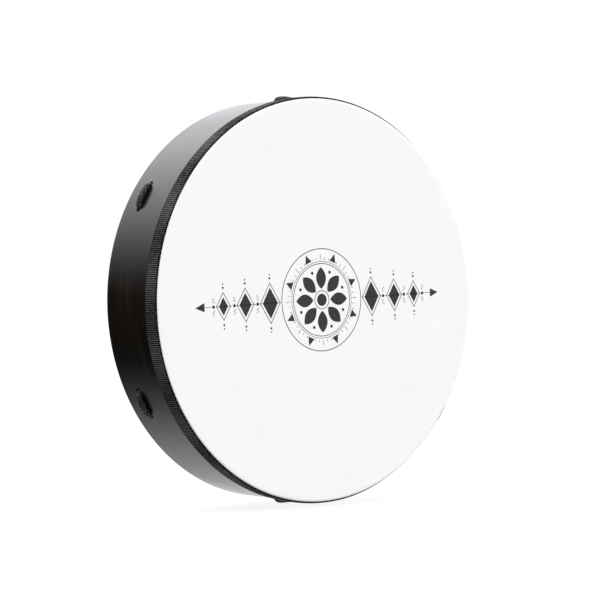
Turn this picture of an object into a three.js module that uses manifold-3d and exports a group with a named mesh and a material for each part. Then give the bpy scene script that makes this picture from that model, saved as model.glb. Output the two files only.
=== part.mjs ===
// A frame drum, 406 mm across and 84 mm deep, standing upright on its edge.
// Units are millimetres and +Z is up. The drum's axis is Y: its head faces -Y and its open back +Y.
// The origin is under the middle of the drum, level with the lowest point of the bottom rope stitch.
import * as THREE from "three";
import { mergeVertices } from "three/addons/utils/BufferGeometryUtils.js";
import Module from "manifold-3d";

const wasm = await Module();
wasm.setup();

// ---- Driving dimensions ----
const SHELL_RADIUS = 203.2; // a 16 inch shell
const SHELL_DEPTH = 83.8;
const SHELL_WALL = 8;
const BEARING_ROUND = 2.4; // the outer corner that the head folds over
const EDGE_CHAMFER = 0.8; // the shell's other three corners
const FIT = 0.2; // the glue line between shell, head and ribbon
const HEAD_THICKNESS = 0.4;
const HEAD_COLLAR = 15; // how far the head runs back along the shell
const RIBBON_THICKNESS = 0.5;
const RIBBON_WIDTH = 19; // from the head's face back to its rear edge
const RIBBON_WRAP = THREE.MathUtils.degToRad(52); // how far round the fold its front edge goes
const SELVAGE = 0.25; // the ribbon thins this much at its back edge

const ROPE_RADIUS = 2.75;
const ROPE_SIDES = 8;
const ROPE_BEND = 3.9; // centreline radius where a rope turns out of its hole
const ROPE_ANGLES = [30, 90, 150]; // degrees above +X; each rope crosses the whole drum
const HOLE_RADIUS = 3.1;
const HOLE_HALF_ANGLE = THREE.MathUtils.degToRad(4); // two holes make one stitch
const HOLE_DEPTH = 59.3; // from the head's face back to the line of holes
const STITCH_GAP = 0.35; // a stitch bridges its two holes just clear of the shell
const STRAND_PITCH = 5.9; // between the two strands of one rope at the hub
const LAYER_PITCH = 5.8; // between the ropes where they cross

const WHIP_CORD = 2.4; // diameter of the thin cord wound round the strands
const WHIP_START = 22; // from the drum's axis to the first turn
const WHIP_END = 54;
const BINDING_GAP = 0.3; // from the thin cord to the strands that it holds
const LASH_INNER = 16.4; // the centre lashing drops between the arms here
const LASH_OUTER = 20.4;
const LASH_WIDTH = 4;
const LASH_CORD = 2.8;

const ROUND_STEPS = 72; // flats round the drum; one lies level at the very bottom
const HOLE_SIDES = 20;

// ---- Places worked out from them ----
const HEAD_RADIUS = SHELL_RADIUS + FIT + HEAD_THICKNESS;
const DRUM_DEPTH = HEAD_THICKNESS + FIT + SHELL_DEPTH;
const FACE_Y = -DRUM_DEPTH / 2;
const BACK_Y = DRUM_DEPTH / 2;
const SHELL_FRONT_Y = BACK_Y - SHELL_DEPTH;
const HOLE_Y = FACE_Y + HOLE_DEPTH;
const FLAT_RADIUS = SHELL_RADIUS * Math.cos(Math.PI / ROUND_STEPS);
const STITCH_RADIUS = FLAT_RADIUS + STITCH_GAP + ROPE_RADIUS;
const AXIS_Z = STITCH_RADIUS + ROPE_RADIUS * Math.cos(Math.PI / ROPE_SIDES);

// ---- Finishes ----
const finish = (color, roughness) => new THREE.MeshStandardMaterial({ color, roughness, metalness: 0 });
const stainedWood = finish(0x241c18, 0.42);
const headFilm = finish(0xf4f3f0, 0.6);
const ribbonWeave = finish(0x1a1a1c, 0.85);
const blackRope = finish(0x131315, 0.8);
const thinCord = finish(0x18181a, 0.8);

// ---- Solids ----
function toSolid(geometry) {
  const bare = geometry.clone();
  bare.deleteAttribute("normal");
  bare.deleteAttribute("uv");
  const merged = mergeVertices(bare, 1e-3);
  return new wasm.Manifold(
    new wasm.Mesh({
      numProp: 3,
      vertProperties: new Float32Array(merged.attributes.position.array),
      triVerts: new Uint32Array(merged.index.array),
    }),
  );
}

function toGeometry(solid) {
  const mesh = solid.getMesh();
  const geometry = new THREE.BufferGeometry();
  geometry.setAttribute("position", new THREE.BufferAttribute(mesh.vertProperties, 3));
  geometry.setIndex(new THREE.BufferAttribute(mesh.triVerts, 1));
  geometry.computeVertexNormals();
  return geometry;
}

// A closed profile of [radius, y] points turned about the drum's axis, with a flat at the bottom.
function turned(profile) {
  const points = profile.map(([radius, y]) => new THREE.Vector2(radius, y));
  return new THREE.LatheGeometry(points, ROUND_STEPS, Math.PI / ROUND_STEPS);
}

// Points of a round from the drum's side towards its face, about a corner centre, a quarter turn at most.
function quarterRound(centreRadius, centreY, round, steps, turn = Math.PI / 2) {
  return Array.from({ length: steps + 1 }, (_, i) => {
    const angle = (i / steps) * turn;
    return [centreRadius + round * Math.cos(angle), centreY - round * Math.sin(angle)];
  });
}

// ---- Shell: one bent and glued wooden hoop with twelve holes for the ropes ----
function shellGeometry() {
  const inner = SHELL_RADIUS - SHELL_WALL;
  const profile = [
    [inner, BACK_Y - EDGE_CHAMFER],
    [inner, SHELL_FRONT_Y + EDGE_CHAMFER],
    [inner + EDGE_CHAMFER, SHELL_FRONT_Y],
    ...quarterRound(SHELL_RADIUS - BEARING_ROUND, SHELL_FRONT_Y + BEARING_ROUND, BEARING_ROUND, 5).reverse(),
    [SHELL_RADIUS, BACK_Y - EDGE_CHAMFER],
    [SHELL_RADIUS - EDGE_CHAMFER, BACK_Y],
    [inner + EDGE_CHAMFER, BACK_Y],
    [inner, BACK_Y - EDGE_CHAMFER],
  ];
  let shell = toSolid(turned(profile));
  for (const angle of ROPE_ANGLES.flatMap((a) => [a, a + 180])) {
    for (const side of [-1, 1]) {
      const drill = new THREE.CylinderGeometry(HOLE_RADIUS, HOLE_RADIUS, SHELL_WALL * 4, HOLE_SIDES);
      drill.rotateZ(Math.PI / 2);
      drill.translate(SHELL_RADIUS, HOLE_Y, 0);
      drill.rotateY(-(THREE.MathUtils.degToRad(angle) + side * HOLE_HALF_ANGLE));
      shell = shell.subtract(toSolid(drill));
    }
  }
  return toGeometry(shell);
}

// ---- Head: a flat film that folds over the shell's front edge into a collar ----
function headGeometry() {
  const cornerRadius = SHELL_RADIUS - BEARING_ROUND;
  const cornerY = SHELL_FRONT_Y + BEARING_ROUND;
  const innerRound = BEARING_ROUND + FIT;
  const outerRound = innerRound + HEAD_THICKNESS;
  const collarY = FACE_Y + HEAD_COLLAR;
  return turned([
    [0, FACE_Y],
    ...quarterRound(cornerRadius, cornerY, outerRound, 6).reverse(),
    [HEAD_RADIUS, collarY],
    [HEAD_RADIUS - HEAD_THICKNESS, collarY],
    ...quarterRound(cornerRadius, cornerY, innerRound, 6),
    [0, FACE_Y + HEAD_THICKNESS],
  ]);
}

// ---- Ribbon: a woven band glued over the collar, its front edge following the fold part of the way ----
function ribbonGeometry() {
  const cornerRadius = SHELL_RADIUS - BEARING_ROUND;
  const cornerY = SHELL_FRONT_Y + BEARING_ROUND;
  const innerRound = HEAD_RADIUS + FIT - cornerRadius;
  const outerRound = innerRound + RIBBON_THICKNESS;
  const back = FACE_Y + RIBBON_WIDTH;
  const outer = quarterRound(cornerRadius, cornerY, outerRound, 6, RIBBON_WRAP);
  const inner = quarterRound(cornerRadius, cornerY, innerRound, 6, RIBBON_WRAP);
  return turned([
    ...outer.reverse(),
    [cornerRadius + outerRound, back - SELVAGE],
    [cornerRadius + outerRound - SELVAGE, back],
    [cornerRadius + innerRound, back],
    ...inner,
    outer[0],
  ]);
}

// ---- Ropes ----
// A path whose steps fall on its own stations: close together in bends, far apart in straight runs.
class StationPath extends THREE.Curve {
  constructor(stations) {
    super();
    this.stations = stations;
  }
  getPoint(t, target = new THREE.Vector3()) {
    const last = this.stations.length - 1;
    const place = Math.min(Math.max(t, 0), 1) * last;
    const index = Math.min(Math.floor(place), last - 1);
    return target.lerpVectors(this.stations[index], this.stations[index + 1], place - index);
  }
  getPointAt(u, target) {
    return this.getPoint(u, target);
  }
  getTangentAt(u, target = new THREE.Vector3()) {
    const last = this.stations.length - 1;
    const index = Math.round(u * last);
    const before = this.stations[Math.max(index - 1, 0)];
    const here = this.stations[index];
    const after = this.stations[Math.min(index + 1, last)];
    const into = here.clone().sub(before).normalize();
    const out = after.clone().sub(here).normalize();
    return target.addVectors(into, out).normalize();
  }
}

function polygonShape(radius, sides) {
  const corners = Array.from({ length: sides }, (_, i) => {
    const angle = ((i + 0.5) / sides) * Math.PI * 2;
    return new THREE.Vector2(radius * Math.cos(angle), radius * Math.sin(angle));
  });
  return new THREE.Shape(corners);
}

// Half a stitch, from the hub's edge out along one strand, through its hole and on to the shell.
// Points are [along the rope, across it, y], for the strand on the side where across is positive.
function halfStitch(layerY) {
  const strandSteps = 9;
  const bendSteps = 5;
  const wallStart = SHELL_RADIUS - SHELL_WALL - 4;
  const hubAcross = STRAND_PITCH / 2;
  const tilt = HOLE_HALF_ANGLE;
  const bendStart = (STITCH_RADIUS - ROPE_BEND * (1 + Math.sin(tilt))) / Math.cos(tilt);
  const points = [];
  for (let i = 0; i <= strandSteps; i++) {
    const share = i / strandSteps;
    const eased = share * (0.35 + share * (1.3 - 0.65 * share));
    points.push([
      THREE.MathUtils.lerp(WHIP_END + 2, wallStart * Math.cos(tilt), share),
      THREE.MathUtils.lerp(hubAcross, wallStart * Math.sin(tilt), eased),
      THREE.MathUtils.lerp(layerY, HOLE_Y, THREE.MathUtils.smoothstep(share, 0, 1)),
    ]);
  }
  const centreAlong = bendStart * Math.cos(tilt) + ROPE_BEND * Math.sin(tilt);
  const centreAcross = bendStart * Math.sin(tilt) - ROPE_BEND * Math.cos(tilt);
  for (let i = 0; i <= bendSteps; i++) {
    const angle = THREE.MathUtils.lerp(Math.PI / 2 + tilt, 0, i / bendSteps);
    points.push([
      centreAlong + ROPE_BEND * Math.cos(angle),
      centreAcross + ROPE_BEND * Math.sin(angle),
      HOLE_Y,
    ]);
  }
  return points;
}

// One rope: a loop through both of its stitches, its two ends meeting inside an arm's whipping.
function ropeGeometry(angle, layerY) {
  const half = halfStitch(layerY);
  const meeting = (WHIP_START + WHIP_END) / 2 - 8;
  const hubAcross = STRAND_PITCH / 2;
  const route = [
    [meeting + 1, hubAcross, layerY],
    ...half,
    ...half.map(([along, across, y]) => [along, -across, y]).reverse(),
    ...half.map(([along, across, y]) => [-along, -across, y]),
    ...half.map(([along, across, y]) => [-along, across, y]).reverse(),
    [meeting - 1, hubAcross, layerY],
  ];
  const stations = route.map(([along, across, y]) => new THREE.Vector3(along, y, across));
  const rope = new THREE.ExtrudeGeometry(polygonShape(ROPE_RADIUS, ROPE_SIDES), {
    steps: stations.length - 1,
    extrudePath: new StationPath(stations),
    bevelEnabled: false,
  });
  return rope.rotateY(-angle);
}

// ---- Whippings: thin cord wound round the two strands of each arm ----
function stadium(halfSpacing, radius) {
  const outline = new THREE.Path();
  outline.absarc(halfSpacing, 0, radius, -Math.PI / 2, Math.PI / 2, false);
  outline.absarc(-halfSpacing, 0, radius, Math.PI / 2, (Math.PI * 3) / 2, false);
  return outline;
}

function whippingGeometry(angle, layerY) {
  const bore = ROPE_RADIUS + BINDING_GAP;
  const arcSteps = 8;
  const section = new THREE.Shape(stadium(STRAND_PITCH / 2, bore + WHIP_CORD).getPoints(arcSteps));
  section.holes.push(new THREE.Path(stadium(STRAND_PITCH / 2, bore).getPoints(arcSteps)));
  const sleeve = new THREE.ExtrudeGeometry(section, {
    depth: WHIP_END - WHIP_START,
    bevelEnabled: false,
  });
  sleeve.rotateY(Math.PI / 2);
  sleeve.translate(WHIP_START, layerY, 0);
  return sleeve.rotateY(-angle);
}

// ---- Centre lashing: three belts of thin cord between the arms, crossing on the axis ----
function lashingGeometry() {
  const inside = LAYER_PITCH + ROPE_RADIUS + BINDING_GAP;
  const outside = inside + LASH_CORD;
  const corner = 1.6;
  const belt = new THREE.Shape();
  belt.moveTo(-LASH_OUTER + corner, -outside);
  belt.lineTo(LASH_OUTER - corner, -outside);
  belt.absarc(LASH_OUTER - corner, -outside + corner, corner, -Math.PI / 2, 0, false);
  belt.absarc(LASH_OUTER - corner, outside - corner, corner, 0, Math.PI / 2, false);
  belt.absarc(-LASH_OUTER + corner, outside - corner, corner, Math.PI / 2, Math.PI, false);
  belt.absarc(-LASH_OUTER + corner, -outside + corner, corner, Math.PI, Math.PI * 1.5, false);
  const window = new THREE.Path();
  window.moveTo(-LASH_INNER, -inside);
  window.lineTo(LASH_INNER, -inside);
  window.lineTo(LASH_INNER, inside);
  window.lineTo(-LASH_INNER, inside);
  belt.holes.push(window);
  let lashing = null;
  for (const angle of ROPE_ANGLES) {
    const turns = new THREE.ExtrudeGeometry(belt, {
      depth: LASH_WIDTH,
      curveSegments: 3,
      bevelEnabled: false,
    });
    turns.translate(0, HOLE_Y, -LASH_WIDTH / 2);
    turns.rotateY(-THREE.MathUtils.degToRad(angle + 30));
    lashing = lashing ? lashing.add(toSolid(turns)) : toSolid(turns);
  }
  return toGeometry(lashing);
}

// ---- Assembly ----
const drum = new THREE.Group();
drum.position.z = AXIS_Z;

function addPart(name, geometry, material) {
  const mesh = new THREE.Mesh(geometry, material);
  mesh.name = name;
  drum.add(mesh);
}

addPart("shell", shellGeometry(), stainedWood);
addPart("head", headGeometry(), headFilm);
addPart("edge_ribbon", ribbonGeometry(), ribbonWeave);
ROPE_ANGLES.forEach((degrees, index) => {
  const layerY = HOLE_Y + (index - 1) * LAYER_PITCH;
  const angle = THREE.MathUtils.degToRad(degrees);
  addPart("handle_rope_" + (index + 1), ropeGeometry(angle, layerY), blackRope);
  for (const arm of [degrees, degrees + 180]) {
    addPart("whipping_" + arm, whippingGeometry(THREE.MathUtils.degToRad(arm), layerY), thinCord);
  }
});
addPart("centre_lashing", lashingGeometry(), thinCord);

export default drum;
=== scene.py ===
import math

import bmesh
import bpy
import numpy as np
from mathutils import Matrix, Vector


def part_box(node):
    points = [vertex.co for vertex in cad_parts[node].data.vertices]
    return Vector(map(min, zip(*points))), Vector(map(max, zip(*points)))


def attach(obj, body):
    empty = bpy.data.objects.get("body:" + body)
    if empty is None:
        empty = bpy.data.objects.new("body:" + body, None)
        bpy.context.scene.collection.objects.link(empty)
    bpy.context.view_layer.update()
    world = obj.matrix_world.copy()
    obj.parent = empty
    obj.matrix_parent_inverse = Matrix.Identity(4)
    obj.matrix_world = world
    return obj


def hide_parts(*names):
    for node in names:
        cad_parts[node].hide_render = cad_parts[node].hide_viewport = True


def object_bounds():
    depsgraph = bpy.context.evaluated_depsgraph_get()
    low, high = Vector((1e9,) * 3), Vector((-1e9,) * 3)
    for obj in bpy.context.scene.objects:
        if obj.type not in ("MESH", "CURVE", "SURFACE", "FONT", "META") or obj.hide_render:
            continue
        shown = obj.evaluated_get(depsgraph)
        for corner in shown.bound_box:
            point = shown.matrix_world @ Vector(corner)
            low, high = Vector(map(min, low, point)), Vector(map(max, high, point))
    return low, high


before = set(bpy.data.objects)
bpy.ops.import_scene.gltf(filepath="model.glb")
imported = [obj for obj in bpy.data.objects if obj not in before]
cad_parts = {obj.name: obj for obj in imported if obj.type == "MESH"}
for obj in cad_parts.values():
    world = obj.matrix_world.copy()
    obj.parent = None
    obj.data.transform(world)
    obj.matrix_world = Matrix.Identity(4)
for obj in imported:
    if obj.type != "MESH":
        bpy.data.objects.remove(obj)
cad_low, cad_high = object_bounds()

# ---- Places that come from the CAD model ----
head_low, head_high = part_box("head")
shell_low, shell_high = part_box("shell")
rope_low, rope_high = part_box("handle_rope_2")
ribbon_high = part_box("edge_ribbon")[1]
CAD_FLATS = 72
TO_ROUND = 1 / math.cos(math.pi / CAD_FLATS)  # from a flat of the CAD model to its circle
AXIS_Z = (head_low[2] + head_high[2]) / 2
FACE_Y = head_low[1]
BACK_Y = shell_high[1]
HOLE_Y = (rope_low[1] + rope_high[1]) / 2
SHELL_RADIUS = (shell_high[2] - shell_low[2]) / 2 * TO_ROUND
HEAD_RADIUS = (head_high[2] - head_low[2]) / 2 * TO_ROUND
RIBBON_BACK_Y = ribbon_high[1]
FLOOR_Z = cad_low[2]

# ---- Dimensions that the CAD model shares ----
MM = 0.001
SHELL_WALL = 8 * MM
BEARING_ROUND = 2.4 * MM
FIT = 0.2 * MM
HEAD_THICKNESS = 0.4 * MM
HEAD_COLLAR = 15 * MM
HOLE_RADIUS = 3.0 * MM
HOLE_HALF_ANGLE = math.radians(4)  # from a stitch's middle to its hole
ROPE_ANGLES = (30, 90, 150)
STRAND_PITCH = 5.9 * MM
LAYER_PITCH = 5.8 * MM
WHIP_START = 22 * MM  # from the axis, along an arm
WHIP_END = 54 * MM
SHELL_FRONT_Y = FACE_Y + HEAD_THICKNESS + FIT
CORNER_RADIUS = SHELL_RADIUS - BEARING_ROUND
CORNER_Y = SHELL_FRONT_Y + BEARING_ROUND

# ---- Finer shapes that only the looks need ----
ROPE_RADIUS = 2.7 * MM
ROPE_IN_HOLE = 1.95 * MM
ROPE_IN_STITCH = 2.9 * MM
BRAID_STRANDS = 8
BRAID_PITCH = 2.7 * MM
BRAID_DEPTH = 0.55 * MM
THIN_CORD_RADIUS = 1.15 * MM
CORD_TWIST_PITCH = 5 * MM
RIB_PITCH = 2.11 * MM
RIB_DEPTH = 0.16 * MM
RIBBON_THICKNESS = 0.55 * MM
RIBBON_WIDTH = 17.8 * MM
RIBBON_LAP = 16 * MM
RIBBON_START = math.radians(-38)
RIBBON_PUFF = 0.45 * MM  # how far its middle stands off the fold
PRINT_LIFT = 0.06 * MM


# ---- Camera: at the photograph's viewing angle, a long lens well back ----
def make_camera():
    azimuth, elevation = math.radians(-39.49), math.radians(0.18)
    distance, lens = 2.195, 130.74
    aim_right, aim_up = -0.02204, -0.00022
    head_centre = Vector((0, FACE_Y, AXIS_Z))
    back = Vector(
        (
            math.sin(azimuth) * math.cos(elevation),
            -math.cos(azimuth) * math.cos(elevation),
            math.sin(elevation),
        )
    )
    right = Vector((math.cos(azimuth), math.sin(azimuth), 0))
    data = bpy.data.cameras.new("camera")
    data.lens = lens
    data.sensor_width = 36
    camera = bpy.data.objects.new("camera", data)
    camera.location = head_centre + back * distance
    target = head_centre + right * aim_right + Vector((0, 0, aim_up))
    camera.rotation_euler = (target - camera.location).to_track_quat("-Z", "Y").to_euler()
    bpy.context.collection.objects.link(camera)
    bpy.context.scene.camera = camera


# ---- Shader helpers ----
class Material:
    """A material made of nodes, with its Principled shader's fixed values set on its own sockets."""

    def __init__(self, name, **fixed):
        self.data = bpy.data.materials.new(name)
        self.data.use_nodes = True
        self.tree = self.data.node_tree
        self.shader = self.tree.nodes["Principled BSDF"]
        for socket, value in fixed.items():
            self.shader.inputs[socket.replace("_", " ")].default_value = value

    def node(self, kind, inputs=None, **settings):
        made = self.tree.nodes.new(kind)
        for key, value in settings.items():
            setattr(made, key, value)
        for socket, value in (inputs or {}).items():
            self.feed(made.inputs[socket], value)
        return made

    def shade(self, name, value):
        """Feeds one of the Principled shader's own sockets."""
        self.feed(self.shader.inputs[name], value)

    def feed(self, socket, value):
        if isinstance(value, bpy.types.NodeSocket):
            self.tree.links.new(value, socket)
        elif isinstance(value, bpy.types.Node):
            self.tree.links.new(value.outputs[0], socket)
        else:
            socket.default_value = value

    def maths(self, operation, a, b=0.0, c=0.0):
        return self.node("ShaderNodeMath", {0: a, 1: b, 2: c}, operation=operation)

    def place(self, scale):
        """Object coordinates about the drum's axis, stretched by scale."""
        where = self.node("ShaderNodeTexCoord").outputs["Object"]
        centred = self.node("ShaderNodeMapping", {"Vector": where, "Location": (0, 0, -AXIS_Z)})
        return self.node("ShaderNodeMapping", {"Vector": centred, "Scale": scale})

    def noise(self, cells, detail, roughness):
        """Noise with that many cells to the metre along x, y and z."""
        values = {"Vector": self.place(cells), "Scale": 1.0, "Detail": detail, "Roughness": roughness}
        return self.node("ShaderNodeTexNoise", values).outputs["Fac"]

    def ramp(self, value, *stops):
        """A colour ramp through (position, colour) stops."""
        made = self.node("ShaderNodeValToRGB", {"Fac": value})
        ramp = made.color_ramp
        while len(ramp.elements) < len(stops):
            ramp.elements.new(0.5)
        for element, (position, colour) in zip(ramp.elements, stops, strict=True):
            element.position = position
            element.color = (*colour, 1)
        return made.outputs["Color"]

    def mix(self, share, first, second):
        """One colour turning into another."""
        made = self.node("ShaderNodeMix", data_type="RGBA")
        for socket, value in (("Factor_Float", share), ("A_Color", first), ("B_Color", second)):
            self.feed(next(i for i in made.inputs if i.identifier == socket), value)
        return next(o for o in made.outputs if o.identifier == "Result_Color")

    def spread(self, value, low, high, start=0.0, end=1.0):
        """value from start to end carried over to low to high."""
        values = {"Value": value, "From Min": start, "From Max": end, "To Min": low, "To Max": high}
        return self.node("ShaderNodeMapRange", values).outputs["Result"]

    def bump(self, *heights):
        """Bumps of (height, distance in metres, strength), one on top of the other."""
        normal = None
        for height, distance, strength in heights:
            values = {"Height": height, "Distance": distance, "Strength": strength}
            if normal is not None:
                values["Normal"] = normal
            normal = self.node("ShaderNodeBump", values).outputs["Normal"]
        self.shade("Normal", normal)


def stained_wood():
    """Near-black stain under satin lacquer, with the grain running round the hoop."""
    wood = Material("stained_wood", Specular_IOR_Level=0.5)
    grain = wood.noise((22, 420, 22), 5.0, 0.62)
    pores = wood.noise((60, 1500, 60), 2.0, 0.5)
    figure = wood.noise((9, 70, 9), 3.0, 0.55)
    patch = wood.noise((34, 60, 34), 3.0, 0.6)
    blotch = wood.maths("MULTIPLY_ADD", grain, 0.6, wood.maths("MULTIPLY", figure, 0.4))
    olive = wood.ramp(
        blotch,
        (0.32, (0.0018, 0.0014, 0.0004)),
        (0.50, (0.0052, 0.0040, 0.0017)),
        (0.68, (0.0125, 0.0095, 0.0050)),
    )
    russet = wood.ramp(
        blotch,
        (0.32, (0.0024, 0.0011, 0.0004)),
        (0.50, (0.0070, 0.0036, 0.0016)),
        (0.68, (0.0165, 0.0088, 0.0048)),
    )
    wood.shade("Base Color", wood.mix(wood.spread(patch, 0, 1, 0.38, 0.62), olive, russet))
    wood.shade("Roughness", wood.spread(blotch, 0.17, 0.29, 0.35, 0.65))
    wood.bump((pores, 0.00005, 0.25), (grain, 0.00016, 0.4))
    return wood.data


def head_film():
    """White synthetic film with a faint fibrous mottle."""
    film = Material("head_film", Specular_IOR_Level=0.35)
    cloud = film.noise((30, 30, 30), 4.0, 0.6)
    fibre = film.noise((160, 160, 700), 4.0, 0.65)
    mottle = film.maths("MULTIPLY_ADD", cloud, 0.5, film.maths("MULTIPLY", fibre, 0.5))
    colour = film.ramp(
        mottle,
        (0.30, (0.828, 0.826, 0.822)),
        (0.70, (0.870, 0.868, 0.867)),
    )
    film.shade("Base Color", colour)
    film.shade("Roughness", film.spread(mottle, 0.48, 0.62, 0.3, 0.7))
    film.bump((fibre, 0.00006, 0.25))
    return film.data


def print_ink():
    """Matt near-black ink, a little thin here and there."""
    ink = Material("head_print", Specular_IOR_Level=0.3, Roughness=0.6)
    speck = ink.noise((420, 420, 420), 3.0, 0.7)
    colour = ink.ramp(
        speck,
        (0.35, (0.0200, 0.0185, 0.0235)),
        (0.62, (0.0270, 0.0250, 0.0310)),
        (0.80, (0.0620, 0.0590, 0.0680)),
    )
    ink.shade("Base Color", colour)
    return ink.data


def bored_wood():
    """The raw wood inside the rope holes, unlacquered and matt; its near-black colour is painted shade
    down in the holes.
    """
    wood = Material("bored_wood", Specular_IOR_Level=0.1, Roughness=0.9)
    grain = wood.noise((300, 1400, 300), 3.0, 0.6)
    # Near-black: painted shade for the inside of the holes.
    colour = wood.ramp(
        grain,
        (0.35, (0.0022, 0.0016, 0.0011)),
        (0.65, (0.0075, 0.0052, 0.0034)),
    )
    wood.shade("Base Color", colour)
    wood.bump((grain, 0.0001, 0.5))
    return wood.data


def woven(name, stops, gloss, slub_scale):
    """Black yarn with painted shade down between its strands and a painted highlight on their crowns,
    with slubs along them and fine fibres over it.
    """
    yarn = Material(name, Specular_IOR_Level=gloss, Sheen_Weight=0.015, Sheen_Roughness=0.5)
    fibre = yarn.noise((2800, 2800, 2800), 4.0, 0.65)
    slub = yarn.noise((slub_scale, slub_scale, slub_scale), 2.0, 0.5)
    relief = yarn.node("ShaderNodeAttribute", attribute_name="relief").outputs["Fac"]
    height_and_slubs = yarn.maths("MULTIPLY_ADD", yarn.spread(slub, -0.5, 0.5, 0.3, 0.7), 0.4, relief)
    painted_light_and_slubs = yarn.maths("MULTIPLY_ADD", yarn.spread(fibre, -0.5, 0.5, 0.3, 0.7), 0.3, height_and_slubs)
    # The ramp turns strand height into colour: painted shade in the hollows, a painted highlight on the
    # crowns.
    yarn.shade("Base Color", yarn.ramp(painted_light_and_slubs, *stops))
    yarn.shade("Roughness", yarn.spread(painted_light_and_slubs, 0.9, 0.55, 0.2, 1.0))
    yarn.bump((fibre, 0.00012, 0.4))
    return yarn.data


# ---- Mesh helpers ----
def link_piece(name, mesh, material, replaces, sharp_angle=40):
    """Puts a mesh into the scene as a piece on the drum; material is None if the mesh has its own."""
    if material:
        mesh.materials.append(material)
    mesh.shade_smooth()
    mesh.set_sharp_from_angle(angle=math.radians(sharp_angle))
    made = bpy.data.objects.new(name, mesh)
    bpy.context.collection.objects.link(made)
    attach(made, "root")
    if replaces:
        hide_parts(*replaces)
    return made


def clean_mesh(name, points, faces, relief=None):
    """A mesh from arrays, its meeting points merged and its faces turned outward.

    relief is how high each point stands in a weave or twist, from about 0 to 1; the material paints
    shade and highlight from it."""
    mesh = bpy.data.meshes.new(name)
    mesh.from_pydata([tuple(p) for p in points], [], [tuple(f) for f in faces])
    if relief is not None:
        mesh.attributes.new("relief", "FLOAT", "POINT").data.foreach_set("value", np.ravel(relief))
    work = bmesh.new()
    work.from_mesh(mesh)
    bmesh.ops.remove_doubles(work, verts=work.verts, dist=1e-7)
    bmesh.ops.recalc_face_normals(work, faces=work.faces)
    work.to_mesh(mesh)
    work.free()
    return mesh


def smoothstep(share):
    """0 to 1, with a gentle start and end."""
    return share * share * (3 - 2 * share)


def grid_faces(rows, columns, wrap_rows=False, wrap_columns=True):
    """Quads over a grid of points that are numbered row by row."""
    last_row = rows if wrap_rows else rows - 1
    last_column = columns if wrap_columns else columns - 1
    r, c = np.meshgrid(np.arange(last_row), np.arange(last_column), indexing="ij")
    r, c = r.ravel(), c.ravel()
    r2, c2 = (r + 1) % rows, (c + 1) % columns
    return np.stack([r * columns + c, r * columns + c2, r2 * columns + c2, r2 * columns + c], 1)


def turned_points(profile, steps):
    """Points of a [radius, y] profile turned about the drum's axis, one row for each profile point."""
    profile = np.array(profile)
    angle = np.linspace(0, 2 * math.pi, steps, endpoint=False)
    x = profile[:, :1] * np.cos(angle)
    z = profile[:, :1] * np.sin(angle) + AXIS_Z
    y = np.repeat(profile[:, 1:], steps, 1)
    return np.stack([x, y, z], 2).reshape(-1, 3)


def arc(centre_radius, centre_y, radius, start, end, steps):
    """Profile points of an arc; angle 0 points away from the axis and 90 degrees towards the face."""
    angles = np.radians(np.linspace(start, end, steps + 1))
    return [(centre_radius + radius * math.cos(a), centre_y - radius * math.sin(a)) for a in angles]


def span(start, end, steps):
    """Profile points strictly between two corners, to keep long faces short."""
    share = np.linspace(0, 1, steps + 1)[1:-1, None]
    return [tuple(p) for p in np.array(start) * (1 - share) + np.array(end) * share]


def cross_directions(path):
    """Two directions across a path, carried along it without twisting."""
    tangent = np.gradient(path, axis=0)
    tangent /= np.linalg.norm(tangent, axis=1)[:, None]
    first = np.zeros_like(path)
    start = np.array([0.0, 1.0, 0.0])
    first[0] = start - tangent[0] * (start @ tangent[0])
    for i in range(1, len(path)):
        carried = first[i - 1] - tangent[i] * (first[i - 1] @ tangent[i])
        first[i] = carried / np.linalg.norm(carried)
    first[0] /= np.linalg.norm(first[0])
    return first, np.cross(tangent, first)


def tube(path, radii, sides):
    """A closed tube along a path; radii is one row of side radii for each path point."""
    first, second = cross_directions(path)
    around = np.linspace(0, 2 * math.pi, sides, endpoint=False)
    out = first[:, None] * np.cos(around)[:, None] + second[:, None] * np.sin(around)[:, None]
    points = (path[:, None] + out * radii[..., None]).reshape(-1, 3)
    faces = [tuple(f) for f in grid_faces(len(path), sides)]
    last = (len(path) - 1) * sides
    faces.append(tuple(range(sides - 1, -1, -1)))
    faces.append(tuple(range(last, last + sides)))
    return points, faces


def turned_to_arm(points, degrees):
    """Points (along, y, across) turned about the axis, so that along points the arm's way."""
    cosine, sine = math.cos(math.radians(degrees)), math.sin(math.radians(degrees))
    turn = np.array([[cosine, 0, sine], [0, 1, 0], [-sine, 0, cosine]])
    return points @ turn + (0, 0, AXIS_Z)


def path_lengths(path):
    """How far along the path each of its points is."""
    steps = np.linalg.norm(np.diff(path, axis=0), axis=1)
    return np.concatenate([[0], np.cumsum(steps)])


def resampled(path, places):
    """Points at the given distances along a path."""
    along = path_lengths(path)
    return np.stack([np.interp(places, along, path[:, k]) for k in range(3)], 1)


def softened(path, reach):
    """A path whose corners are rounded over a few points each way, its ends kept."""
    window = np.hanning(2 * reach + 3)[1:-1]
    window /= window.sum()
    padded = np.concatenate(
        [2 * path[0] - path[reach:0:-1], path, 2 * path[-1] - path[-2 : -reach - 2 : -1]]
    )
    return np.stack([np.convolve(padded[:, k], window, "valid") for k in range(3)], 1)


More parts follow.
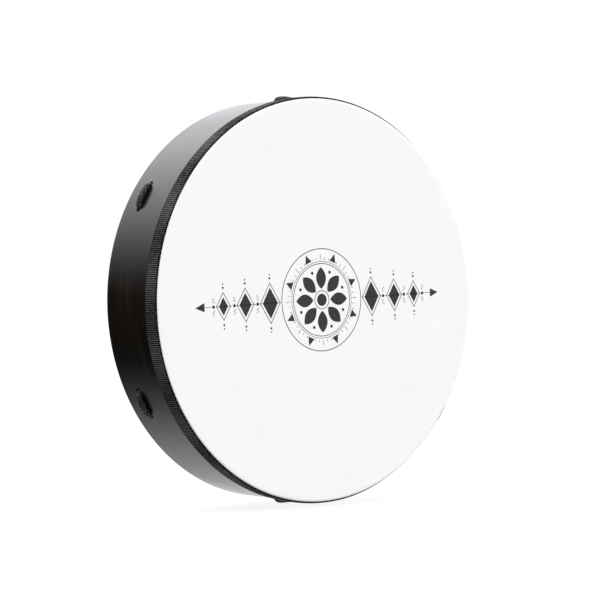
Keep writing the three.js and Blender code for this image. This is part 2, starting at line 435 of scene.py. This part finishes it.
# ---- Shell ----
def drill(angle):
    """A cutter for one rope hole, with a rounded mouth inside and outside."""
    mouth, sides = 0.35 * MM, 40
    inner, outer = SHELL_RADIUS - SHELL_WALL, SHELL_RADIUS
    quarter = np.radians(np.linspace(0, 90, 6))
    outside = [
        (HOLE_RADIUS + mouth * (1 - math.cos(a)), outer - mouth * (1 - math.sin(a)))
        for a in quarter
    ]
    inside = [(r, inner + outer - h) for r, h in reversed(outside)]
    rim = outside[-1][0]
    profile = [(0, inner - MM), (rim, inner - MM), *inside, *outside, (rim, outer + MM), (0, outer + MM)]
    around = np.linspace(0, 2 * math.pi, sides, endpoint=False)
    points = [(r * math.cos(a), r * math.sin(a), h) for r, h in profile for a in around]
    mesh = clean_mesh("drill", points, grid_faces(len(profile), sides))
    turn = Matrix.Rotation(math.pi / 2 - angle, 4, "Y")
    mesh.transform(Matrix.Translation((0, HOLE_Y, AXIS_Z)) @ turn)
    return mesh


def make_shell(material, bore_material):
    """The hoop with its rounded edges and its twelve rope holes."""
    inner, edge = SHELL_RADIUS - SHELL_WALL, 0.8 * MM
    front_outer = arc(CORNER_RADIUS, CORNER_Y, BEARING_ROUND, 0, 90, 8)
    front_inner = arc(inner + edge, SHELL_FRONT_Y + edge, edge, 90, 180, 5)
    back_inner = arc(inner + edge, BACK_Y - edge, edge, 180, 270, 5)
    back_outer = arc(SHELL_RADIUS - edge, BACK_Y - edge, edge, 270, 360, 5)
    profile = [
        *front_outer,
        *front_inner,
        *span(front_inner[-1], back_inner[0], 16),
        *back_inner,
        *back_outer,
        *span(back_outer[-1], front_outer[0], 16),
    ]
    steps = 360
    faces = grid_faces(len(profile), steps, wrap_rows=True)
    hoop = bpy.data.objects.new("hoop", clean_mesh("hoop", turned_points(profile, steps), faces))
    hoop.data.materials.append(material)
    bpy.context.collection.objects.link(hoop)
    cutters = bmesh.new()
    for rope in ROPE_ANGLES:
        for anchor in (math.radians(rope), math.radians(rope + 180)):
            for side in (-1, 1):
                cutters.from_mesh(drill(anchor + side * HOLE_HALF_ANGLE))
    cutter_mesh = bpy.data.meshes.new("cutters")
    cutters.to_mesh(cutter_mesh)
    cutters.free()
    cutter_mesh.materials.append(bore_material)
    cutter = bpy.data.objects.new("cutters", cutter_mesh)
    bpy.context.collection.objects.link(cutter)
    cut = hoop.modifiers.new("holes", "BOOLEAN")
    cut.operation, cut.solver, cut.object = "DIFFERENCE", "EXACT", cutter
    cut.material_mode = "TRANSFER"
    graph = bpy.context.evaluated_depsgraph_get()
    mesh = bpy.data.meshes.new_from_object(hoop.evaluated_get(graph))
    mesh.name = "wooden_shell"
    bpy.data.objects.remove(hoop)
    bpy.data.objects.remove(cutter)
    sliver = 0.004 * MM
    work = bmesh.new()
    work.from_mesh(mesh)
    bmesh.ops.remove_doubles(work, verts=work.verts, dist=sliver)
    bmesh.ops.dissolve_degenerate(work, edges=work.edges, dist=sliver)
    work.to_mesh(mesh)
    link_piece("wooden_shell", mesh, None, ["shell"], 35)
    # The shading breaks at the rim of each hole, where the lacquer stops.
    work.clear()
    work.from_mesh(mesh)
    for edge in work.edges:
        if len({face.material_index for face in edge.link_faces}) > 1:
            edge.smooth = False
    work.to_mesh(mesh)
    work.free()


# ---- Head ----
def make_head(material):
    """The film: flat across the front, folded round the shell's edge into a collar."""
    inner_round = BEARING_ROUND + FIT
    outer_round = inner_round + HEAD_THICKNESS
    collar_y = FACE_Y + HEAD_COLLAR
    fold_out = arc(CORNER_RADIUS, CORNER_Y, outer_round, 90, 0, 10)
    fold_in = arc(CORNER_RADIUS, CORNER_Y, inner_round, 0, 90, 10)
    collar_out = (CORNER_RADIUS + outer_round, collar_y)
    collar_in = (CORNER_RADIUS + inner_round, collar_y)
    front, behind = (0, FACE_Y), (0, FACE_Y + HEAD_THICKNESS)
    profile = [
        front,
        *span(front, fold_out[0], 40),
        *fold_out,
        *span(fold_out[-1], collar_out, 6),
        collar_out,
        collar_in,
        *span(collar_in, fold_in[0], 6),
        *fold_in,
        *span(fold_in[-1], behind, 40),
        behind,
    ]
    steps = 240
    mesh = clean_mesh("drum_head", turned_points(profile, steps), grid_faces(len(profile), steps))
    head = link_piece("drum_head", mesh, material, ["head"])


# ---- Ribbon ----
def ribbon_edges(angle):
    """How far round the fold the ribbon's front edge reaches, in radians, and the y of its back edge.

    It was laid by hand: it reaches furthest at the left, and doesn't turn forward at the right."""
    furthest_wrap, top, most_drift = math.radians(172), math.radians(95), 1.92
    leftness = np.cos(angle - furthest_wrap)
    onset = smoothstep(np.clip((leftness + 0.62) / 0.35, 0, 1))
    degrees = onset * (47 + 10 * leftness) + 4 * np.cos(angle - top)
    wrap = np.radians(np.clip(degrees, 0, None))
    # The back edge's small ripple and its drift towards the face, in millimetres.
    ripple = 0.10 * np.sin(23 * angle + 1) + 0.07 * np.sin(61 * angle)
    drift = 1.5 + 0.9 * np.sin(angle) + 0.8 * np.cos(2 * (angle - most_drift))
    return wrap, RIBBON_BACK_Y + MM * (ripple - drift)


def make_ribbon(material):
    """Grosgrain: ribs across its width, thin woven edges, and its two ends lapped at the lower right."""
    glue = 0.05 * MM
    inner_round = HEAD_RADIUS + glue - CORNER_RADIUS
    round_length = 2 * math.pi * HEAD_RADIUS
    length = round_length + RIBBON_LAP
    samples_in_rib = 6
    columns = int(length / RIB_PITCH) * samples_in_rib
    along = np.linspace(0, length, columns)
    angle = RIBBON_START + along / HEAD_RADIUS
    wrap, back_edge = ribbon_edges(angle)
    fold_length = inner_round * wrap
    stretch = (fold_length + back_edge - CORNER_Y) / RIBBON_WIDTH
    from_edge = np.array([0, 0.25, 0.7, 1.3, 2.1, 3.4]) * MM
    across = np.concatenate([from_edge, [RIBBON_WIDTH / 2], RIBBON_WIDTH - from_edge[::-1]])[:, None]
    # The ribs fade out towards the selvages, which have scallops two ribs long.
    edge = np.minimum(across, RIBBON_WIDTH - across)
    crown = np.clip(edge / (1.1 * MM), 0, 1) ** 0.5
    ribbed = np.clip((edge - 0.7 * MM) / (0.9 * MM), 0, 1)
    selvage = np.exp(-(((edge - 0.45 * MM) / (0.35 * MM)) ** 2))
    beat = 2 * math.pi * along / RIB_PITCH + 0.5 * np.sin(9 * angle) + 0.3 * np.sin(31 * angle + 2)
    ribs = (0.5 - 0.5 * np.cos(beat)) * (0.85 + 0.15 * np.sin(17 * angle))
    scallops = 0.5 - 0.5 * np.cos(beat / 2)
    relief = ribbed * ribs + selvage * scallops
    sag = 0.4 * MM * np.clip(-np.sin(angle), 0, 1) ** 4
    loose = RIBBON_PUFF * (1 - np.exp(-edge / (2.5 * MM))) + sag
    thick = RIBBON_THICKNESS * (0.45 + 0.35 * crown) - RIB_DEPTH / 2 + RIB_DEPTH * relief
    # The far end climbs over the near end.
    climb = 5 * MM
    over = smoothstep(np.clip((along - (round_length - climb)) / climb, 0, 1))
    over = (RIBBON_THICKNESS + RIBBON_PUFF) * over
    points = []
    for lift in (loose + thick, loose):
        height = inner_round + lift + over
        turn = np.clip((fold_length - across * stretch) / inner_round, 0, None)
        radius = CORNER_RADIUS + height * np.cos(turn)
        y = CORNER_Y + np.clip(across * stretch - fold_length, 0, None) - height * np.sin(turn)
        points.append(np.stack([radius * np.cos(angle), y, AXIS_Z + radius * np.sin(angle)], 2))
    rows = len(across)
    grid = np.concatenate([points[0], points[1][::-1]]).reshape(-1, 3)
    faces = [tuple(f) for f in grid_faces(2 * rows, columns, wrap_rows=True, wrap_columns=False)]
    for column in (0, columns - 1):
        faces.append(tuple(np.arange(2 * rows) * columns + column))
    mesh = clean_mesh("grosgrain_ribbon", grid, faces, np.concatenate([relief, np.zeros_like(relief)]))
    ribbon = link_piece("grosgrain_ribbon", mesh, material, ["edge_ribbon"], 60)


# ---- Ropes ----
def rope_route(layer_y):
    """Half of a rope's loop: out along a strand, over its stitch and back, as (along, y, across)."""
    tilt = HOLE_HALF_ANGLE
    past_whipping, before_wall, press = 2 * MM, 4 * MM, 0.05 * MM
    wall_start = SHELL_RADIUS - SHELL_WALL - before_wall
    share = np.linspace(0, 1, 60)
    # The two strands stay close together at first and part towards their holes.
    parting = share * (0.35 + share * (1.3 - 0.65 * share))
    start_along, start_across = WHIP_END + past_whipping, STRAND_PITCH / 2
    strand = np.stack(
        [
            start_along + (wall_start * math.cos(tilt) - start_along) * share,
            layer_y + (HOLE_Y - layer_y) * smoothstep(share),
            start_across + (wall_start * math.sin(tilt) - start_across) * parting,
        ],
        1,
    )
    # The stitch lies on the shell, then dives into its hole over the last part of its length.
    place = np.linspace(1, 0, 40)
    dive_from, hole_level = 0.62, -2.6 * MM
    resting = stitch_girth(place) - press
    dive = np.clip((place - dive_from) / (1 - dive_from), 0, 1) ** 2
    height = resting + (hole_level - resting) * dive
    radius, turn = SHELL_RADIUS + height, place * tilt
    stitch = np.stack([radius * np.cos(turn), np.full_like(place, HOLE_Y), radius * np.sin(turn)], 1)
    out = np.concatenate([strand, stitch])
    return np.concatenate([out[:-1], out[::-1] * (1, 1, -1)])


def stitch_girth(place):
    """Radius of the rope along half a stitch, from 0 at its middle to 1 in its hole."""
    return ROPE_IN_HOLE + (ROPE_IN_STITCH - ROPE_IN_HOLE) * np.clip(1 - place**2, 0, 1) ** 0.8


def braid_height(along, around):
    """Height of a plain braid: strands turning both ways, each going over and under the other."""
    turn = BRAID_STRANDS * around / (2 * math.pi)
    a, b = turn + along / BRAID_PITCH, turn - along / BRAID_PITCH
    side_a, side_b = a - np.floor(a) - 0.5, b - np.floor(b) - 0.5
    over = 1 - 2 * ((np.floor(a) + np.floor(b)) % 2)
    round_a = np.sqrt(np.clip(1 - (1.9 * side_a) ** 2, 0, 1))
    round_b = np.sqrt(np.clip(1 - (1.9 * side_b) ** 2, 0, 1))
    high_a = 0.55 * round_a + 0.45 * over * np.cos(math.pi * side_b)
    high_b = 0.55 * round_b - 0.45 * over * np.cos(math.pi * side_a)
    return np.maximum(high_a, high_b)


def make_rope(index, material):
    """One braided rope: a loop through two stitches, its ends meeting inside a whipping."""
    layer_y = HOLE_Y + (index - 1) * LAYER_PITCH
    meeting = (WHIP_START + WHIP_END) / 2 - 8 * MM
    gap = 2 * MM
    half = rope_route(layer_y)
    start = np.array([[meeting + gap / 2, layer_y, STRAND_PITCH / 2]])
    end = np.array([[meeting - gap / 2, layer_y, STRAND_PITCH / 2]])
    route = np.concatenate([start, half, half * (-1, 1, -1), end])
    # Points lie closer together in the stitches, which show, than on the strands.
    fine, coarse = 0.36 * MM, 0.6 * MM
    fine_from, stitch_from = SHELL_RADIUS - 3 * MM, SHELL_RADIUS - 4 * MM
    route = softened(resampled(route, np.arange(0, path_lengths(route)[-1], fine)), 4)
    along = path_lengths(route)
    out = np.hypot(route[:, 0], route[:, 2])
    density = np.where(out > fine_from, 1 / fine, 1 / coarse)
    count = np.concatenate([[0], np.cumsum((density[1:] + density[:-1]) / 2 * np.diff(along))])
    places = np.interp(np.arange(0, count[-1]), count, along)
    path = resampled(route, places)
    out = np.hypot(path[:, 0], path[:, 2])
    place = np.arctan2(np.abs(path[:, 2]), np.abs(path[:, 0])) / HOLE_HALF_ANGLE
    narrowing = 5 * MM
    into_hole = np.clip((out - SHELL_RADIUS + SHELL_WALL + narrowing) / narrowing, 0, 1)
    strand_girth = ROPE_RADIUS + (ROPE_IN_HOLE - ROPE_RADIUS) * into_hole
    girth = np.where(out > stitch_from, stitch_girth(np.clip(place, 0, 1)), strand_girth)
    sides = 48
    around = np.linspace(0, 2 * math.pi, sides, endpoint=False)
    rough = braid_height(places[:, None], around[None, :])
    mean_height = 0.75
    radii = girth[:, None] + BRAID_DEPTH * (rough - mean_height)
    points, faces = tube(path, radii, sides)
    points = turned_to_arm(points, ROPE_ANGLES[index])
    points[:, 2] = np.maximum(points[:, 2], FLOOR_Z)
    name = f"braided_rope_{index + 1}"
    mesh = clean_mesh(name, points, faces, rough)
    link_piece(name, mesh, material, [f"handle_rope_{index + 1}"], 80)


# ---- Thin cord: whippings and the centre lashing ----
def thin_cord(path):
    """A thin cord of three twisted plies along a path: its points, faces and relief."""
    plies, sides = 3, 10
    along = path_lengths(path)
    around = np.linspace(0, 2 * math.pi, sides, endpoint=False)
    lay = np.cos(plies * around[None, :] - 2 * math.pi * along[:, None] / CORD_TWIST_PITCH)
    points, faces = tube(path, THIN_CORD_RADIUS * (1 + 0.07 * lay), sides)
    return points, faces, 0.5 + 0.5 * lay


def stadium(place, half_straight, radius):
    """A point (across, up) that far round a stadium outline, in turns."""
    straight, bend = 4 * half_straight, 2 * math.pi * radius
    run = (np.asarray(place) % 1) * (straight + bend)
    quarter = [half_straight, bend / 2, 2 * half_straight, bend / 2, half_straight]
    ends = np.cumsum(quarter)
    swing_right = np.clip((run - ends[0]) / radius, 0, math.pi)
    swing_left = np.clip((run - ends[2]) / radius, 0, math.pi)
    across = np.clip(run, 0, ends[0]) - np.clip(run - ends[1], 0, quarter[2])
    across = across + np.clip(run - ends[3], 0, quarter[4])
    across = across + radius * (np.sin(swing_right) - np.sin(swing_left))
    up = radius * (1 - np.cos(swing_right)) - radius * (1 - np.cos(swing_left)) - radius
    return across, up


def make_whipping(rope, arm, material):
    """Thin cord wound tightly round the two strands of one arm."""
    layer_y = HOLE_Y + (ROPE_ANGLES.index(rope) - 1) * LAYER_PITCH
    pitch = 2 * THIN_CORD_RADIUS * 0.99
    turns = int((WHIP_END - WHIP_START - 2 * THIN_CORD_RADIUS) / pitch)
    points_in_turn = 36
    place = np.linspace(0, turns, turns * points_in_turn)
    hug = ROPE_RADIUS + 0.2 * MM + THIN_CORD_RADIUS
    across, up = stadium(place, STRAND_PITCH / 2, hug)
    wobble = 0.08 * MM * np.sin(place * 2.4 + arm)
    along = WHIP_START + THIN_CORD_RADIUS + place * pitch + wobble
    path = np.stack([along, layer_y + up, across], 1)
    points, faces, relief = thin_cord(path)
    name = f"cord_whipping_{arm}"
    mesh = clean_mesh(name, turned_to_arm(points, arm), faces, relief)
    link_piece(name, mesh, material, [f"whipping_{arm}"], 80)


def make_lashing(material):
    """Three belts of cord, two turns each, that cross over one another on the axis."""
    half_wide = 16.2 * MM
    half_high = LAYER_PITCH + ROPE_RADIUS + 0.3 * MM + THIN_CORD_RADIUS
    corner = 3.6 * MM
    turns, spacing = 2, 2 * THIN_CORD_RADIUS * 0.97
    crossing_length, layer_rise = 6 * MM, 1.7 * MM
    between_arms, point_spacing = 30, 0.8 * MM
    points, faces, relief = [], [], []
    for layer, rope in enumerate(ROPE_ANGLES):
        outline = []
        corners = ((1, -1, -90), (1, 1, 0), (-1, 1, 90), (-1, -1, 180))
        for side, level, start in corners:
            for step in np.radians(np.linspace(start, start + 90, 8)):
                outline.append(
                    (
                        side * (half_wide - corner) + corner * math.cos(step),
                        level * (half_high - corner) + corner * math.sin(step),
                    )
                )
        outline = np.array(outline + outline[:1])
        loop = np.stack([outline[:, 0], outline[:, 1], 0 * outline[:, 0]], 1)
        total = path_lengths(loop)[-1]
        places = np.arange(0, turns * total, point_spacing)
        path = resampled(loop, places % total)
        path[:, 2] = (places / total - turns / 2) * spacing
        # Near the axis each belt rises over those already wound.
        bulge = np.exp(-((path[:, 0] / crossing_length) ** 2)) * np.sign(path[:, 1])
        path[:, 1] += bulge * layer * layer_rise * (np.abs(path[:, 1]) > half_high * 0.8)
        path = softened(path, 3)
        path[:, 1] += HOLE_Y
        cord_points, cord_faces, cord_relief = thin_cord(path)
        offset = sum(len(p) for p in points)
        points.append(turned_to_arm(cord_points, rope + between_arms))
        relief.append(cord_relief)
        faces += [tuple(i + offset for i in f) for f in cord_faces]
    mesh = clean_mesh("cord_lashing", np.concatenate(points), faces, np.concatenate(relief))
    link_piece("cord_lashing", mesh, material, ["centre_lashing"], 80)


# ---- Print: a plain geometric band of lozenges and a petal rosette ----
class Ink:
    """Flat shapes on the head, each a thin closed skin. Points are (right, up) in millimetres."""

    def __init__(self):
        self.points, self.faces = [], []

    def add(self, front, faces_of):
        """The same faces over the points in front and, turned round, over their copies behind."""
        base, count = len(self.points), len(front)
        for depth in (-PRINT_LIFT, PRINT_LIFT):
            self.points += [(x * MM, FACE_Y + depth, z * MM) for x, z in front]
        for loop in faces_of:
            self.faces.append(tuple(base + i for i in loop))
            self.faces.append(tuple(base + count + i for i in reversed(loop)))

    def side(self, base, count, loop):
        """The wall between the front and back points along a loop."""
        for i, j in zip(loop, loop[1:] + loop[:1], strict=True):
            self.faces.append((base + i, base + count + i, base + count + j, base + j))

    def fill(self, outline):
        """A filled outline."""
        loop = list(range(len(outline)))
        base = len(self.points)
        self.add(outline, [loop])
        self.side(base, len(outline), loop)

    def band(self, outer, inner):
        """The strip between two outlines with as many points each."""
        count = len(outer)
        base = len(self.points)
        quads = [(i, (i + 1) % count, count + (i + 1) % count, count + i) for i in range(count)]
        self.add(list(outer) + list(inner), quads)
        self.side(base, 2 * count, list(range(count)))
        self.side(base, 2 * count, list(range(2 * count - 1, count - 1, -1)))

    def disc(self, x, z, radius, steps=40):
        self.fill(circle(x, z, radius, steps))

    def ring(self, x, z, radius, width, steps=96):
        self.band(circle(x, z, radius + width / 2, steps), circle(x, z, radius - width / 2, steps))

    def line(self, start, end, width):
        (x0, z0), (x1, z1) = start, end
        length = math.hypot(x1 - x0, z1 - z0)
        nx, nz = (z0 - z1) / length * width / 2, (x1 - x0) / length * width / 2
        self.fill([(x0 + nx, z0 + nz), (x0 - nx, z0 - nz), (x1 - nx, z1 - nz), (x1 + nx, z1 + nz)])

    def lozenge(self, x, z, half_wide, half_high, width=0.0):
        """A lozenge, filled or as an outline of that width."""
        outer = [(x + half_wide, z), (x, z + half_high), (x - half_wide, z), (x, z - half_high)]
        if not width:
            self.fill(outer)
            return
        shrink = 1 - width * math.hypot(half_wide, half_high) / (half_wide * half_high)
        self.band(outer, [(x + (px - x) * shrink, z + (pz - z) * shrink) for px, pz in outer])

    def petal(self, angle, start, end, half_wide):
        """A pointed petal that lies along a spoke at angle."""
        share = np.linspace(0, 1, 13)
        belly = half_wide * np.sin(math.pi * share) ** 0.8
        run = start + (end - start) * share
        edge = list(zip(run, belly, strict=True)) + list(zip(run[-2:0:-1], -belly[-2:0:-1], strict=True))
        self.fill([turned_flat(x, z, angle) for x, z in edge])


def circle(x, z, radius, steps):
    angles = np.linspace(0, 2 * math.pi, steps, endpoint=False)
    return [(x + radius * math.cos(a), z + radius * math.sin(a)) for a in angles]


def turned_flat(x, z, angle):
    return x * math.cos(angle) - z * math.sin(angle), x * math.sin(angle) + z * math.cos(angle)


def make_print(material):
    """The printed band; every number that draws it is in millimetres."""
    ink = Ink()
    fine, thin = 0.7, 0.5
    # The rosette in the middle.
    petals = 8
    ink.disc(0, 0, 6.2)
    ink.ring(0, 0, 9.2, fine)
    for k in range(petals):
        ink.petal(2 * math.pi * k / petals, 11.0, 33.0, 6.4)
    ink.ring(0, 0, 36.5, fine, 120)
    ink.ring(0, 0, 38.6, thin, 120)
    for k in range(petals):
        angle = 2 * math.pi * (k + 0.5) / petals
        ink.disc(*turned_flat(29.5, 0, angle), 1.6, 20)
        corners = [(40.5, -4.2), (49.0, 0), (40.5, 4.2)]
        ink.fill([turned_flat(x, z, angle) for x, z in corners])
    # A ring of ticks, with gaps for the triangles.
    ticks = 48
    for k in range(ticks):
        if k % 6 != 3:
            angle = 2 * math.pi * k / ticks
            tick_end = 42.8 if k % 6 else 46.0
            ink.line(turned_flat(40.4, 0, angle), turned_flat(tick_end, 0, angle), thin)
    ink.ring(0, 0, 51.5, 0.8, 140)
    # The bands to either side: lozenges that shrink outwards on one thin line.
    for side in (-1, 1):
        for x, half_wide, half_high in ((66, 9.5, 15.5), (97, 7.5, 12), (124, 5.5, 9)):
            ink.lozenge(side * x, 0, half_wide, half_high)
            ink.lozenge(side * x, 0, half_wide + 3.4, half_high + 5.2, fine)
            for level in (-1, 1):
                ink.disc(side * x, level * (half_high + 9.2), 1.15, 18)
                ink.disc(side * x, level * (half_high + 12.8), 0.8, 16)
        # Dots and slanted strokes between the lozenges.
        for x in (81.8, 110.5, 136.0):
            ink.disc(side * x, 0, 1.7, 20)
            for reach in (3.6, 6.4):
                ink.line((side * (x - 1.6), reach), (side * (x + 1.6), reach + 2.4), thin)
                ink.line((side * (x - 1.6), -reach), (side * (x + 1.6), -reach - 2.4), thin)
        stops = (53.0, 79.4), (84.2, 108.0), (113.0, 133.6), (138.4, 147.0)
        for start, end in stops:
            ink.line((side * start, 0), (side * end, 0), thin)
        tip = [(side * 147, -4.4), (side * 158, 0), (side * 147, 4.4)]
        ink.fill(tip)
    tilt = math.radians(2.9)
    turn = Matrix.Translation((0, 0, AXIS_Z)) @ Matrix.Rotation(-tilt, 4, "Y")
    mesh = clean_mesh("printed_band", ink.points, ink.faces)
    mesh.transform(turn)
    link_piece("printed_band", mesh, material, [], 20)


# ---- Stage ----
def make_stage():
    """A pale floor that takes the drum's shadow and adds no light or reflection to the drum."""
    reach = 12
    mesh = bpy.data.meshes.new("floor")
    corners = [(-reach, -reach), (reach, -reach), (reach, reach), (-reach, reach)]
    mesh.from_pydata([(x, y, FLOOR_Z) for x, y in corners], [], [(0, 1, 2, 3)])
    floor = bpy.data.objects.new("floor", mesh)
    bpy.context.collection.objects.link(floor)
    pale = Material("pale_floor", Roughness=0.9, Specular_IOR_Level=0.1)
    pale.shade("Base Color", (0.07, 0.07, 0.07, 1))
    pale.shade("Emission Color", (1, 1, 1, 1))
    pale.shade("Emission Strength", 0.9)
    mesh.materials.append(pale.data)
    floor.visible_diffuse = floor.visible_glossy = floor.visible_shadow = False


def make_world():
    """A soft studio: light from above, below and the right, and a soft front light on the head."""
    world = bpy.data.worlds.new("studio")
    bpy.context.scene.world = world
    world.use_nodes = True
    nodes, links = world.node_tree.nodes, world.node_tree.links
    nodes.clear()

    def maths(operation, *values):
        made = nodes.new("ShaderNodeMath")
        made.operation = operation
        for socket, value in zip(made.inputs, values, strict=False):
            if isinstance(value, bpy.types.NodeSocket):
                links.new(value, socket)
            else:
                socket.default_value = value
        return made.outputs[0]

    def ease(value, start, end, low, high):
        """From low to high, smoothly, as value goes from start to end."""
        made = nodes.new("ShaderNodeMapRange")
        made.interpolation_type = "SMOOTHSTEP"
        links.new(value, made.inputs["Value"])
        limits = {"From Min": start, "From Max": end, "To Min": low, "To Max": high}
        for socket, number in limits.items():
            made.inputs[socket].default_value = number
        return made.outputs["Result"]

    where = nodes.new("ShaderNodeTexCoord").outputs["Generated"]
    split = nodes.new("ShaderNodeSeparateXYZ")
    links.new(where, split.inputs[0])
    x, y, z = (split.outputs[axis] for axis in "XYZ")
    downward = maths("SUBTRACT", maths("MULTIPLY", x, 0.26), z)
    above = ease(z, 0.01, 1.45, 0.0, 7.9)
    below = ease(downward, 0.20, 1.65, 0.0, 5.8)
    right = ease(x, 0.30, 0.62, 0.0, 0.95)
    front = ease(y, -0.1, -0.9, 0.0, 0.56)
    everywhere = 0.035
    # Light from in front of the drum is dimmer than light from behind it, most of all from below.
    high_share = ease(y, 0.35, 0.78, 0.50, 1.0)
    low_share = ease(y, 0.35, 0.78, 0.22, 1.0)
    high_light = maths("MULTIPLY", maths("ADD", above, right), high_share)
    low_light = maths("MULTIPLY", below, low_share)
    around = maths("ADD", high_light, low_light)
    ambient = maths("ADD", around, maths("ADD", front, everywhere))
    # The camera sees plain white.
    seen = nodes.new("ShaderNodeLightPath").outputs["Is Camera Ray"]
    unseen = maths("SUBTRACT", 1.0, seen)
    strength = maths("ADD", maths("MULTIPLY", ambient, unseen), seen)
    # The light from behind is a little cooler than the light in front.
    tint = nodes.new("ShaderNodeValToRGB")
    links.new(maths("MULTIPLY", y, unseen), tint.inputs["Fac"])
    tints = (0.45, (1, 1, 1)), (0.75, (0.965, 0.955, 1.0))
    for element, (place, colour) in zip(tint.color_ramp.elements, tints, strict=True):
        element.position = place
        element.color = (*colour, 1)
    background = nodes.new("ShaderNodeBackground")
    links.new(tint.outputs["Color"], background.inputs["Color"])
    links.new(strength, background.inputs["Strength"])
    output = nodes.new("ShaderNodeOutputWorld")
    links.new(background.outputs[0], output.inputs["Surface"])


# ---- Assembly ----
make_camera()
make_stage()
make_world()
bpy.context.scene.view_settings.view_transform = "Standard"

# The colour of each yarn from painted shade in its hollows to a painted highlight on its crowns; the
# rope's crowns carry bright painted glints.
rope_stops = (
    (0.50, (0.0005, 0.0005, 0.0006)),
    (0.88, (0.0050, 0.0050, 0.0050)),
    (1.00, (0.190, 0.190, 0.186)),
)
cord_stops = (
    (0.30, (0.0016, 0.0016, 0.0017)),
    (1.00, (0.050, 0.050, 0.049)),
)
ribbon_stops = (
    (0.35, (0.0030, 0.0030, 0.0030)),
    (1.00, (0.178, 0.178, 0.175)),
)
rope_yarn = woven("black_rope", rope_stops, 0.25, 700)
cord_yarn = woven("thin_cord", cord_stops, 0.35, 900)
ribbon_yarn = woven("grosgrain", ribbon_stops, 0.02, 620)

make_shell(stained_wood(), bored_wood())
make_head(head_film())
make_ribbon(ribbon_yarn)
for index, rope in enumerate(ROPE_ANGLES):
    make_rope(index, rope_yarn)
    for arm in (rope, rope + 180):
        make_whipping(rope, arm, cord_yarn)
make_lashing(cord_yarn)
make_print(print_ink())
